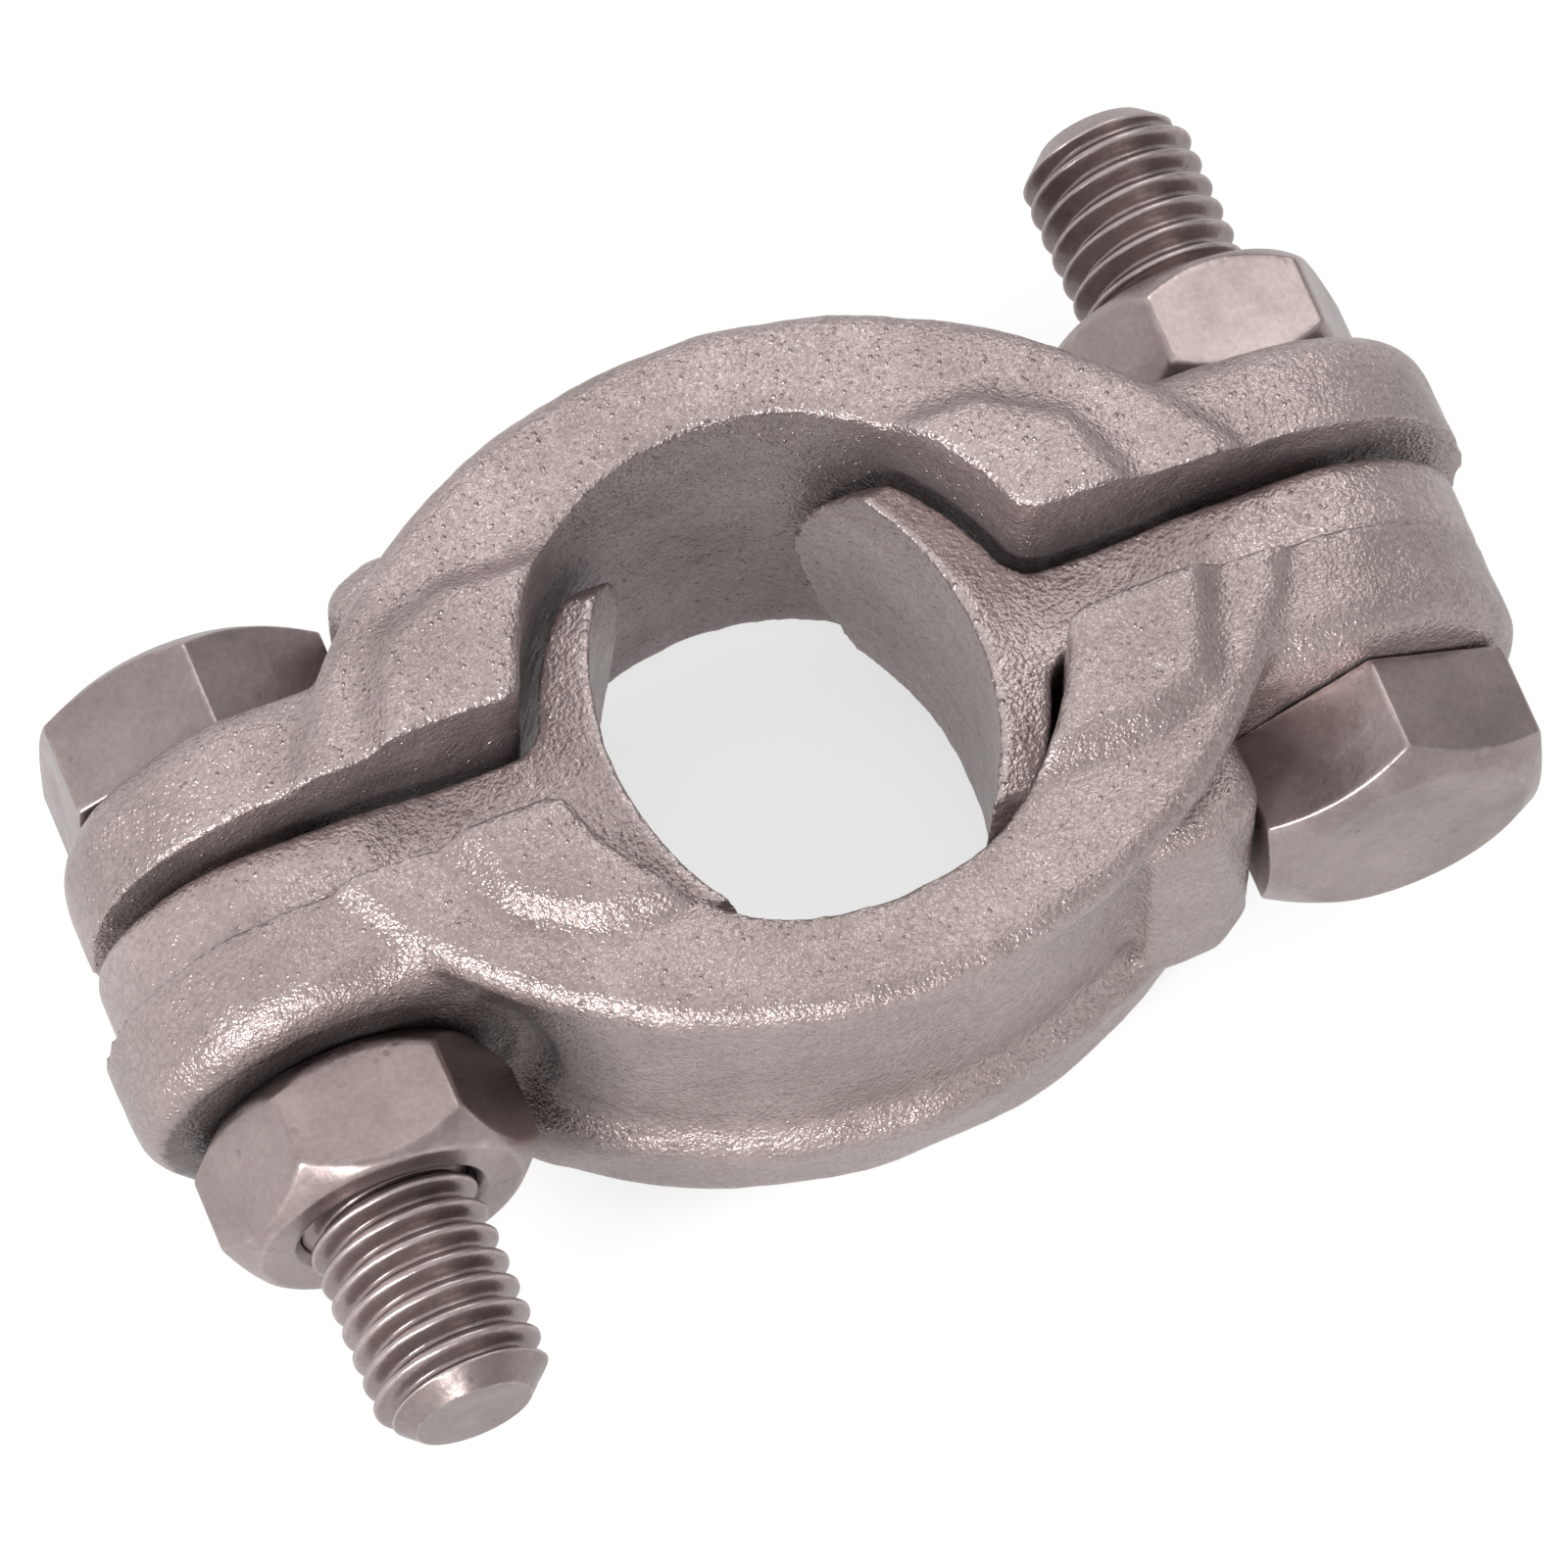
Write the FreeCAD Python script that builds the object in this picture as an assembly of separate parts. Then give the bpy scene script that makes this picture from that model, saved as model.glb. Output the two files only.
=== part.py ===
import FreeCAD, Part
import math
import os

# Double bolt hose clamp: two cast halves, two cast saddles, two hex bolts and two hex nuts.
# The hose axis is Z through the origin, the bolts lie along Y, one at each end of X.
# The halves meet across the plane Y = 0. Each one is the other turned half a turn about Z.
# All sizes are in millimetres.

# Bolts and nuts, M8
boltDiameter = 8.0
boltLength = 31.1
hexFlats = 13.0
headHeight = 5.6
headChamferAngle = 30.0
headFaceShare = 0.86
headFillet = 0.3
nutHeight = 6.0
nutChamferAngle = 45.0
nutFaceShare = 0.95
boltEndChamfer = 1.0
threadPitch = 1.25
threadDepth = 0.77
threadTurns = 17
threadClearance = 0.05
nutFlare = 0.5
leftHeadTurn = 2.0
leftNutTurn = 31.0
rightNutTurn = 41.4

# Placing of the bolts and the opening for the hose
boltSpacing = 48.2
hoseRadius = 11.85

# Band of each half, a little smaller at its lower rim
bandWidth = 22.4
bandThickness = 4.75
outerArcRadius = 25.0
upperRimRounding = 1.2
lowerRimRounding = 3.0
lowerRimInset = 0.9
channelTop = 9.6
channelFoot = -4.7
channelDepth = 1.35
channelCrestInset = 0.15
channelLip = 1.3
channelFlank = 1.4
channelRounding = 1.2
mouthRounding = 1.3

# Lugs of each half
lugThickness = 5.2
lugWidth = 19.8
lugRise = 0.5
nutLugReach = 9.1
headLugReach = 8.0
lugRounding = 2.1
boltHoleClearance = 0.45

# Pocket round each nut and block beside each bolt head
nutTurningRoom = 0.35
pocketRounding = 1.5
blockGap = 0.2
blockTop = 8.05
blockFoot = -6.2
blockDepth = 5.6
blockRounding = 1.6
blockRim = 1.4
blockCorner = 2.4

# Raised pads on the side faces, their outer sides sloped: how far the foot of each pad reaches
# from the corner of the mouth (foot, shoulder) and from the split face (drop, crest)
padHeight = 1.15
padRoot = 2.4
padSlope = 1.05
padCorner = 2.2
nutPad = {"foot": 6.5, "shoulder": 4.4, "drop": 4.25, "crest": 6.65, "crestWidth": 4.8}
headPad = {"foot": 8.0, "shoulder": 5.4, "drop": 5.5, "crest": 6.75, "crestWidth": 5.7}

# Saddles
tabThickness = 4.2
tabWidth = 16.2
closingTravel = 0.7
saddleWidth = 16.2
saddleOpening = 17.0
saddleFaceRadius = 14.2
saddleBackClearance = 0.6
saddleTipReach = 10.4
saddleTipRounding = 14.0
saddleWebFillet = 1.7
saddleRidge = 0.35
saddleDishDepth = 0.9
saddleDishWidth = 11.0
tabRounding = 0.8

# Places that follow from the sizes
splitY = (tabThickness + closingTravel) / 2.0
seatY = splitY + lugThickness
boltX = boltSpacing / 2.0
crownY = hoseRadius + bandThickness
outerArcY = outerArcRadius - crownY
hexCorner = hexFlats / math.sqrt(3.0)
sideZ = bandWidth / 2.0
mouthX = math.sqrt(hoseRadius ** 2 - splitY ** 2)
blockX = boltX - hexFlats / 2.0 - blockGap
far = boltSpacing + boltLength + outerArcRadius
close = 0.001

upwards = FreeCAD.Vector(0, 0, 1)
alongBolts = FreeCAD.Vector(0, 1, 0)
centre = FreeCAD.Vector(0, 0, 0)


def point(x, y, z=0.0):
    return FreeCAD.Vector(x, y, z)


def line(start, end):
    return Part.makeLine(start, end)


def arc(start, middle, end):
    return Part.Arc(start, middle, end).toShape()


def box(low, high):
    size = high.sub(low)
    return Part.makeBox(size.x, size.y, size.z, low)


def prism(edges, direction):
    return Part.Face(Part.Wire(edges)).extrude(direction)


def flatPrism(corners, low, height):
    # a polygon in the XY plane, drawn up from z = low
    ring = [point(x, y, low) for x, y in corners]
    return Part.Face(Part.makePolygon(ring + ring[:1])).extrude(point(0, 0, height))


def edgesAlong(shape, direction):
    # straight edges that run along a direction
    found = []
    for edge in shape.Edges:
        if len(edge.Vertexes) == 2 and edge.Curve.TypeId == "Part::GeomLine":
            run = edge.Vertexes[1].Point.sub(edge.Vertexes[0].Point).normalize()
            if abs(run.dot(direction)) > 1.0 - close:
                found.append(edge)
    return found


def edgesOnPlane(shape, axis, place):
    # edges that lie wholly on the plane where one coordinate has the given value
    found = []
    for edge in shape.Edges:
        low = getattr(edge.BoundBox, axis + "Min")
        high = getattr(edge.BoundBox, axis + "Max")
        if abs(low - place) < close and abs(high - place) < close:
            found.append(edge)
    return found


def ringEdges(shape, radius, z):
    # round edges of one radius about an upright axis, at one height
    found = []
    for edge in edgesOnPlane(shape, "Z", z):
        if edge.Curve.TypeId == "Part::GeomCircle" and abs(edge.Curve.Radius - radius) < close:
            found.append(edge)
    return found


# Fasteners

def hexBody(length, faceShare, chamferAngle):
    # a hexagon along +Y with flats facing +X and -X, its corners turned off at the far end
    ring = []
    for step in range(7):
        angle = math.radians(30.0 + 60.0 * step)
        ring.append(point(hexCorner * math.cos(angle), 0, hexCorner * math.sin(angle)))
    body = Part.Face(Part.makePolygon(ring)).extrude(point(0, length, 0))
    faceRadius = hexFlats / 2.0 * faceShare
    drop = (hexCorner - faceRadius) * math.tan(math.radians(chamferAngle))
    profile = [
        point(0, 0),
        point(hexCorner, 0),
        point(hexCorner, length - drop),
        point(faceRadius, length),
        point(0, length),
        point(0, 0),
    ]
    turned = Part.Face(Part.makePolygon(profile)).revolve(centre, alongBolts, 360)
    return body.common(turned)


def makeShank():
    # a neck under the head, a plain length and the crests and roots of the thread, as plain rings
    radius = boltDiameter / 2.0
    threadEnd = boltLength - boltEndChamfer
    threadStart = threadEnd - threadTurns * threadPitch
    profile = [
        point(0, 0),
        point(radius + headFillet, 0),
        point(radius, headFillet),
        point(radius, threadStart),
    ]
    for step in range(threadTurns):
        crest = threadStart + (step + 1) * threadPitch
        profile.append(point(radius - threadDepth, crest - threadPitch / 2.0))
        profile.append(point(radius, crest))
    profile.append(point(radius - boltEndChamfer, boltLength))
    profile.append(point(0, boltLength))
    profile.append(profile[0])
    return Part.Face(Part.makePolygon(profile)).revolve(centre, alongBolts, 360)


def makeBolt(turn):
    # the seat of the head is at y = 0, the head towards -Y and the shank towards +Y
    head = hexBody(headHeight, headFaceShare, headChamferAngle).mirror(centre, alongBolts)
    head.rotate(centre, alongBolts, turn)
    return head.fuse(makeShank()).removeSplitter()


def makeNut(turn):
    # the face that meets the lug is at y = 0, and the nut goes on towards +Y
    radius = boltDiameter / 2.0 + threadClearance
    outside = hexBody(nutHeight, nutFaceShare, nutChamferAngle)
    reverse = outside.mirror(centre, alongBolts)
    reverse.translate(point(0, nutHeight, 0))
    hole = Part.makeCylinder(radius, nutHeight, centre, alongBolts)
    flare = Part.makeCone(radius + nutFlare, radius, nutFlare, centre, alongBolts)
    farFlare = flare.mirror(centre, alongBolts)
    farFlare.translate(point(0, nutHeight, 0))
    nut = outside.common(reverse).cut([hole, flare, farFlare])
    nut.rotate(centre, alongBolts, turn)
    return nut


# Cast halves, drawn on the -Y side with the nut at -X and the bolt head at +X

def makeBand():
    # the section of the band with its outer channel, turned about the centre of its outer arc
    inner = math.hypot(mouthX, outerArcY + splitY) - mouthRounding * 2.0
    outer = outerArcRadius
    lower = outer - lowerRimInset
    bed = outer - channelDepth
    crest = outer - channelCrestInset
    corners = [
        (inner, -sideZ),
        (inner, sideZ),
        (outer, sideZ),
        (outer, channelTop),
        (bed, channelTop - channelLip),
        (bed, channelFoot + channelFlank),
        (crest, channelFoot),
        (lower, -sideZ),
    ]
    ring = [point(radius, outerArcY, z) for radius, z in corners]
    section = Part.Face(Part.makePolygon(ring + ring[:1]))
    band = section.revolve(point(0, outerArcY, 0), upwards, -180)
    roundings = [
        (upperRimRounding, outer, sideZ),
        (channelRounding, bed, channelTop - channelLip),
        (channelRounding, bed, channelFoot + channelFlank),
        (channelRounding, crest, channelFoot),
        (lowerRimRounding, lower, -sideZ),
    ]
    for rounding, radius, z in roundings:
        band = band.makeFillet(rounding, ringEdges(band, radius, z))
    return band.common(box(point(-far, -far, -far), point(far, -splitY, far)))


def makeLug(side, reach):
    # a plate with a half-round end, a little above the middle, rounded over round its seat
    half = lugWidth / 2.0
    tip = boltX + reach
    root = mouthX + mouthRounding
    bend = tip - half

    def at(x, z):
        return point(side * x, -splitY, z)

    high = lugRise + half
    low = lugRise - half
    edges = [
        line(at(root, low), at(root, high)),
        line(at(root, high), at(bend, high)),
        arc(at(bend, high), at(tip, lugRise), at(bend, low)),
        line(at(bend, low), at(root, low)),
    ]
    plate = prism(edges, point(0, -lugThickness, 0))
    outline = []
    for edge in edgesOnPlane(plate, "Y", -seatY):
        if abs(edge.CenterOfMass.x) > root + close:
            outline.append(edge)
    return plate.makeFillet(lugRounding, outline)


def makeBlock():
    # the block that keeps the bolt head from turning
    end = seatY + blockDepth
    root = mouthX
    corners = [
        (root, -splitY - lugThickness / 2.0),
        (blockX, -splitY - lugThickness / 2.0),
        (blockX, -end + blockCorner / 2.0),
        (blockX - blockCorner, -end),
        (root, -end),
    ]
    block = flatPrism(corners, blockFoot, blockTop - blockFoot)
    upright = []
    for edge in edgesAlong(block, upwards):
        if edge.CenterOfMass.x > root + close and edge.CenterOfMass.y < -seatY:
            upright.append(edge)
    block = block.makeFillet(blockRounding, upright)
    rims = []
    for edge in edgesOnPlane(block, "Z", blockFoot) + edgesOnPlane(block, "Z", blockTop):
        if edge.CenterOfMass.x > root + close and edge.CenterOfMass.y < -seatY + lugThickness / 4.0:
            rims.append(edge)
    return block.makeFillet(blockRim, rims)


def makePad(side, reach):
    # a raised pad at the corner between the hose opening and the split face
    crestY = splitY + reach["crest"]
    crestX = math.sqrt(hoseRadius ** 2 - crestY ** 2)
    inside = crestX - mouthRounding
    corners = [
        (inside, -crestY),
        (crestX + reach["crestWidth"], -crestY),
        (mouthX + reach["shoulder"], -splitY - reach["drop"]),
        (mouthX + reach["foot"], -splitY + padCorner),
        (inside, -splitY + padCorner),
    ]
    low = sideZ - padRoot
    pad = flatPrism([(side * x, y) for x, y in corners], low, padHeight + padRoot)
    outer = []
    for edge in edgesAlong(pad, upwards):
        if abs(edge.CenterOfMass.x) > crestX and edge.CenterOfMass.y < -splitY:
            outer.append(edge)
    pad = pad.makeFillet(padCorner, outer)
    rims = []
    for edge in edgesOnPlane(pad, "Z", sideZ + padHeight):
        if abs(edge.CenterOfMass.x) > inside + close and edge.CenterOfMass.y < -splitY + padCorner - close:
            rims.append(edge)
    return pad.makeChamfer(padSlope, rims)


def makeMouth():
    # the space that both the hose and the other half leave open, with rounded corners
    beyond = box(point(-far, -splitY, -far), point(far, far, far))
    bore = Part.makeCylinder(hoseRadius, 2.0 * far, point(0, 0, -far), upwards)
    mouth = beyond.fuse(bore).removeSplitter()
    corners = []
    for edge in edgesAlong(mouth, upwards):
        if abs(edge.CenterOfMass.y + splitY) < close:
            corners.append(edge)
    return mouth.makeFillet(mouthRounding, corners)


def makePocket():
    # the round room in which the nut turns, with a rounded foot
    radius = hexCorner + nutTurningRoom + pocketRounding
    room = Part.makeCylinder(radius, crownY, point(-boltX, -seatY, 0), point(0, -1, 0))
    return room.makeFillet(pocketRounding, edgesOnPlane(room, "Y", -seatY))


def makeHeadRoom():
    # the room beside the block for the bolt head
    half = hexCorner + nutTurningRoom + pocketRounding
    low = point(blockX, -seatY - crownY, -half)
    high = point(boltX + nutLugReach, -seatY, half)
    room = box(low, high)
    foot = []
    for edge in edgesOnPlane(room, "Y", -seatY):
        if abs(abs(edge.CenterOfMass.z) - half) < close:
            foot.append(edge)
    return room.makeFillet(pocketRounding, foot)


def makeHalf():
    solid = makeBand()
    solid = solid.fuse([makeLug(-1, nutLugReach), makeLug(1, headLugReach), makeBlock()])
    pads = []
    for side, reach in ((-1, nutPad), (1, headPad)):
        upper = makePad(side, reach)
        pads.append(upper)
        pads.append(upper.mirror(centre, upwards))
    solid = solid.fuse(pads)
    holes = []
    for side in (-1, 1):
        radius = boltDiameter / 2.0 + boltHoleClearance
        holes.append(Part.makeCylinder(radius, far, point(side * boltX, -far / 2.0, 0), alongBolts))
    solid = solid.cut([makeMouth(), makePocket(), makeHeadRoom()] + holes)
    return solid.removeSplitter()


# Saddles, drawn on the -X side; the tab lies against the near half

def makeSaddle(side):
    nearY = -splitY
    rearY = nearY + tabThickness
    middleY = (nearY + rearY) / 2.0
    half = saddleWidth / 2.0
    backRadius = hoseRadius - saddleBackClearance
    faceX = saddleFaceRadius - saddleOpening / 2.0

    # crescent between the back circle and the larger circle of its face
    back = Part.makeCylinder(backRadius, saddleWidth, point(0, middleY, -half), upwards)
    face = Part.makeCylinder(saddleFaceRadius, saddleWidth, point(faceX, middleY, -half), upwards)
    tabRoot = -saddleOpening / 2.0
    tab = box(point(-boltX, nearY, -half), point(tabRoot, rearY, half))
    arms = box(point(-boltX, -far, -half), point(0, far, half))
    solid = back.common(arms).fuse(tab).removeSplitter()
    inner = []
    for edge in edgesAlong(solid, upwards):
        middle = edge.CenterOfMass
        if abs(abs(middle.y - middleY) - tabThickness / 2.0) < close and middle.x > -boltX + close:
            inner.append(edge)
    solid = solid.makeFillet(saddleWebFillet, inner).cut(face)

    # ends of the arms, rounded as seen along X
    tip = saddleTipReach
    inset = saddleTipRounding - math.sqrt(saddleTipRounding ** 2 - half ** 2)
    shoulder = tip - inset

    def at(y, z):
        return point(-far, middleY + y, z)

    outline = [
        line(at(-shoulder, half), at(shoulder, half)),
        arc(at(shoulder, half), at(tip, 0), at(shoulder, -half)),
        line(at(shoulder, -half), at(-shoulder, -half)),
        arc(at(-shoulder, -half), at(-tip, 0), at(-shoulder, half)),
    ]
    solid = solid.common(prism(outline, point(far, 0, 0)))

    # tab round the bolt
    tabHalf = tabWidth / 2.0
    eye = Part.makeCylinder(tabHalf, tabThickness, point(-boltX, nearY, 0), alongBolts)
    strip = box(point(-boltX, nearY, -tabHalf), point(-hoseRadius, rearY, tabHalf))
    plate = eye.fuse(strip).removeSplitter()
    rims = edgesOnPlane(plate, "Y", nearY) + edgesOnPlane(plate, "Y", rearY)
    ends = [edge for edge in rims if edge.CenterOfMass.x < -boltX]
    plate = plate.makeFillet(tabRounding, ends)
    trim = box(point(-boltX - far, -far, -far), point(-boltX + tabHalf, far, far))
    solid = solid.cut(trim).fuse(plate)

    # shallow dish on both sides, which leaves a thin ridge along the face
    start = saddleFaceRadius + saddleRidge
    mid = start + saddleDishWidth / 2.0
    stop = start + saddleDishWidth

    def dishAt(radius, z):
        return point(faceX + radius, middleY, z)

    dish = [
        arc(dishAt(start, half), dishAt(mid, half - saddleDishDepth), dishAt(stop, half)),
        line(dishAt(stop, half), dishAt(stop, saddleWidth)),
        line(dishAt(stop, saddleWidth), dishAt(start, saddleWidth)),
        line(dishAt(start, saddleWidth), dishAt(start, half)),
    ]
    upper = Part.Face(Part.Wire(dish)).revolve(point(faceX, middleY, 0), upwards, 360)
    lower = upper.mirror(centre, upwards)
    radius = boltDiameter / 2.0 + boltHoleClearance
    hole = Part.makeCylinder(radius, far, point(-boltX, -far / 2.0, 0), alongBolts)
    solid = solid.cut([upper, lower, hole]).removeSplitter()
    if side > 0:
        solid = solid.mirror(centre, point(1, 0, 0))
    return solid


def halfTurned(shape):
    turned = shape.copy()
    turned.rotate(centre, upwards, 180)
    return turned


def placed(shape, x, y):
    moved = shape.copy()
    moved.translate(point(x, y, 0))
    return moved


nearHalf = makeHalf()

pieces = {
    "near_half": nearHalf,
    "far_half": halfTurned(nearHalf),
    "left_saddle": makeSaddle(-1),
    "right_saddle": makeSaddle(1),
    "right_bolt": placed(makeBolt(0.0), boltX, -seatY),
    "left_bolt": placed(halfTurned(makeBolt(-leftHeadTurn)), -boltX, seatY),
    "right_nut": placed(makeNut(rightNutTurn), boltX, seatY),
    "left_nut": placed(halfTurned(makeNut(-leftNutTurn)), -boltX, -seatY),
}

os.makedirs("parts", exist_ok=True)
for name, shape in pieces.items():
    solids = shape.Solids
    if len(solids) != 1 or not shape.isValid():
        raise ValueError(name + " isn't one sound solid")
    solids[0].exportStep("parts/" + name + ".step")
    print(name, round(solids[0].Volume, 1))
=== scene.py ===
import math
import bmesh
import bpy
import numpy as np
from mathutils import Matrix, Vector


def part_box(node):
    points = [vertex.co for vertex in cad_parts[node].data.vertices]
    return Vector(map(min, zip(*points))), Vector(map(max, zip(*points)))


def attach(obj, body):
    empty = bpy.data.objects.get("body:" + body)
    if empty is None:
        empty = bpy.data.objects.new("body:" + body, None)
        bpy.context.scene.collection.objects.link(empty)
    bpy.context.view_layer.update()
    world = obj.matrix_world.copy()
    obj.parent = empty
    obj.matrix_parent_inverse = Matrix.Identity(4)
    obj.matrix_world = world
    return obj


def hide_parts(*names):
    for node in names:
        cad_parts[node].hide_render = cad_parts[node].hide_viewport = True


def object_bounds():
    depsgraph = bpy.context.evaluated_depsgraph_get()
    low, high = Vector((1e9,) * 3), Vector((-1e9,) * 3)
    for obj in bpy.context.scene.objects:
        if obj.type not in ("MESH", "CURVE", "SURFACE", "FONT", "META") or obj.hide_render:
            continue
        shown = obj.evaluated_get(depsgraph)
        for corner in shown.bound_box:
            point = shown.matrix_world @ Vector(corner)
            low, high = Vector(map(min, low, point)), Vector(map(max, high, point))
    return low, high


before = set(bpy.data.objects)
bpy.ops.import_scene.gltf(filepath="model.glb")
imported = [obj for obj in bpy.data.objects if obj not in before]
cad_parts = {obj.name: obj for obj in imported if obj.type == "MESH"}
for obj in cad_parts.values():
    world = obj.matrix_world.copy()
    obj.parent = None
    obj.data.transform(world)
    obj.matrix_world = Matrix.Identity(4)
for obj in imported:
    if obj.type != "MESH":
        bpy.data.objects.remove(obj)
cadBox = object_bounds()
mm = 0.001
print("frame loaded:", ", ".join(sorted(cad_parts)))


# Shared helpers

def link(name, mesh):
    piece = bpy.data.objects.new(name, mesh)
    bpy.context.scene.collection.objects.link(piece)
    return piece


def bake(piece):
    # puts what the modifiers make of the mesh in its place
    seen = piece.evaluated_get(bpy.context.evaluated_depsgraph_get())
    mesh = bpy.data.meshes.new_from_object(seen)
    old = piece.data
    piece.modifiers.clear()
    piece.data = mesh
    bpy.data.meshes.remove(old)


def vertexArray(mesh, what="co"):
    # a row of three numbers for each vertex: its place, or with "normal" its normal
    values = np.empty(len(mesh.vertices) * 3, np.float32)
    mesh.vertices.foreach_get(what, values)
    return values.reshape(-1, 3).astype(float)


def setVertices(mesh, co):
    mesh.vertices.foreach_set("co", co.astype(np.float32).ravel())
    mesh.update()


def markVertices(mesh, name, values):
    # keeps a number for each vertex, which the materials read by its name
    marks = mesh.attributes.new(name, "FLOAT", "POINT")
    marks.data.foreach_set("value", values.astype(np.float32))


def shadeSmooth(mesh):
    mesh.polygons.foreach_set("use_smooth", [True] * len(mesh.polygons))
    mesh.update()


def rising(values, start, length):
    # 0 up to start, then rising evenly to 1 over length
    return np.clip((values - start) / length, 0, 1)


def smoothStep(share):
    return share * share * (3 - 2 * share)


def waves(co, size, seed, count=24):
    # smooth seeded noise over space, about -1 to 1, as a sum of sine waves of about one length
    rng = np.random.default_rng(seed)
    aims = rng.normal(size=(count, 3))
    aims /= np.linalg.norm(aims, axis=1)[:, None]
    steps = 2 * math.pi / (size * rng.uniform(0.7, 1.4, count))
    phases = rng.uniform(0, 2 * math.pi, count)
    total = np.sin(co @ (aims * steps[:, None]).T + phases).sum(1)
    return total / math.sqrt(count)


# Where the pieces sit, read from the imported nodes

def midX(node):
    low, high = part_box(node)
    return (low[0] + high[0]) / 2


def spanY(node):
    low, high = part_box(node)
    return low[1], high[1]


nearSeat = spanY("left_nut")[1]
farSeat = spanY("right_nut")[0]
headHeight = (nearSeat - spanY("right_bolt")[0]) / mm
boltLength = (spanY("right_bolt")[1] - nearSeat) / mm
nutHeight = (spanY("right_nut")[1] - farSeat) / mm


# Castings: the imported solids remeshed, with edges softened as a sand mould leaves them

halfCasting = {
    "voxel": 0.31,         # mm
    "softening": 9,        # smoothing passes
    "crispBelow": 3.0,     # mm from the split, where edges stay crisp
    "swell": 0.16,         # mm, slow unevenness of the mould
    "swellSize": 6.5,      # mm
    "peel": 0.035,         # mm, fine unevenness
    "peelSize": 1.6,       # mm
    "seedNear": 11,
    "seedFar": 23,
}

saddleCasting = {
    "voxel": 0.2,
    "softening": 5,
    "crispBelow": 0.0,
    "swell": 0.06,
    "swellSize": 6.0,
    "peel": 0.03,
    "peelSize": 1.2,
    "seedLeft": 31,
    "seedRight": 47,
}

mould = {
    "crispFade": 0.8,      # mm over which the softening comes in beyond the crisp strip
    "crispShare": 0.2,     # share of the softening that the crisp strip still gets
    "outward": 0.1,        # share of the unevenness that may stand out of the solid
}

channelFoot = {
    "centre": 8.4,         # mm beyond the middle, centre of the band's arc
    "radius": 22.5,        # mm, outside which the foot lies
    "height": -4.0,        # mm, where the sloping foot of the channel is
    "spread": 1.6,         # mm
    "crisp": 0.8,          # share of the softening that it goes without
}

pocketWall = {
    "radius": 9.4,         # mm from the bolt, where the wall of the nut's pocket meets the band
    "spread": 4.0,         # mm
    "start": 8.4,          # mm from the middle, just above the lug's face
    "fade": 1.0,           # mm
    "inward": 1.0,         # mm from the bolt towards the band, where the wall begins
    "passes": 40,          # smoothing passes, so that the band runs into the pocket
}

# painted shade on the halves: in the nut's pocket, in the gap under the nut and in the bore
halfShade = {
    "pocket": 0.85,        # darkness of the painted shade round the nut
    "pocketRadius": 9.6,   # mm from the bolt, up to which it is full
    "pocketFade": 3.4,     # mm
    "pocketStart": 6.7,    # mm from the middle
    "startFade": 1.4,      # mm
    "seatReach": 0.5,      # mm from the lug's face, where it is full under the nut
    "seatRadius": 8.2,     # mm
    "bore": 0.25,          # darkness painted into the bore as shade
    "boreRadius": 12.9,    # mm
    "boreHeight": 10.1,    # mm from the middle, up to which it is full
    "boreFade": 1.5,       # mm
}


def smoothWhere(piece, weights, passes):
    # smooths the vertices by their weights, rounded to eighths
    group = piece.vertex_groups.new(name="soften")
    levels = np.round(weights * 8) / 8
    for level in np.unique(levels):
        if level > 0:
            group.add(np.nonzero(levels == level)[0].tolist(), float(level), "REPLACE")
    soften = piece.modifiers.new("soften", "SMOOTH")
    soften.factor = 0.5
    soften.iterations = passes
    soften.vertex_group = "soften"
    bake(piece)
    piece.vertex_groups.clear()


def markBend(mesh):
    # how far each vertex stands out from its neighbours: over 0.5 on edges, under it in hollows
    co = vertexArray(mesh)
    normals = vertexArray(mesh, "normal")
    ends = np.empty(len(mesh.edges) * 2, np.int32)
    mesh.edges.foreach_get("vertices", ends)
    a, b = ends.reshape(-1, 2).T
    step = co[b] - co[a]
    step /= np.maximum(np.linalg.norm(step, axis=1), 1e-9)[:, None]
    total = len(co)
    shares = np.maximum(np.bincount(a, minlength=total) + np.bincount(b, minlength=total), 1)

    def gathered(atA, atB):
        return (np.bincount(a, atA, total) + np.bincount(b, atB, total)) / shares

    bend = gathered(-(normals[a] * step).sum(1), (normals[b] * step).sum(1))
    bend = (bend + gathered(bend[b], bend[a])) / 2
    markVertices(mesh, "bend", 0.5 + bend / math.pi)


def fromBolt(co, boltX):
    return np.hypot(co[:, 0] - boltX, co[:, 2])


def softenPiece(piece, look, boltX):
    co = vertexArray(piece.data)
    away = np.abs(co[:, 1])
    weights = np.maximum(rising(away, look["crispBelow"], mould["crispFade"]), mould["crispShare"])
    if boltX is not None:
        outward = np.hypot(co[:, 0], away + channelFoot["centre"])
        foot = np.exp(-((co[:, 2] - channelFoot["height"]) / channelFoot["spread"]) ** 2)
        weights *= 1 - channelFoot["crisp"] * foot * (outward > channelFoot["radius"])
    smoothWhere(piece, weights, look["softening"])
    if boltX is not None:
        co = vertexArray(piece.data)
        offWall = np.abs(fromBolt(co, boltX) - pocketWall["radius"])
        weights = 1 - rising(offWall, 0, pocketWall["spread"])
        weights *= rising(np.abs(co[:, 1]), pocketWall["start"], pocketWall["fade"])
        weights *= np.abs(co[:, 0]) < abs(boltX) - pocketWall["inward"]
        smoothWhere(piece, weights, pocketWall["passes"])


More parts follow.
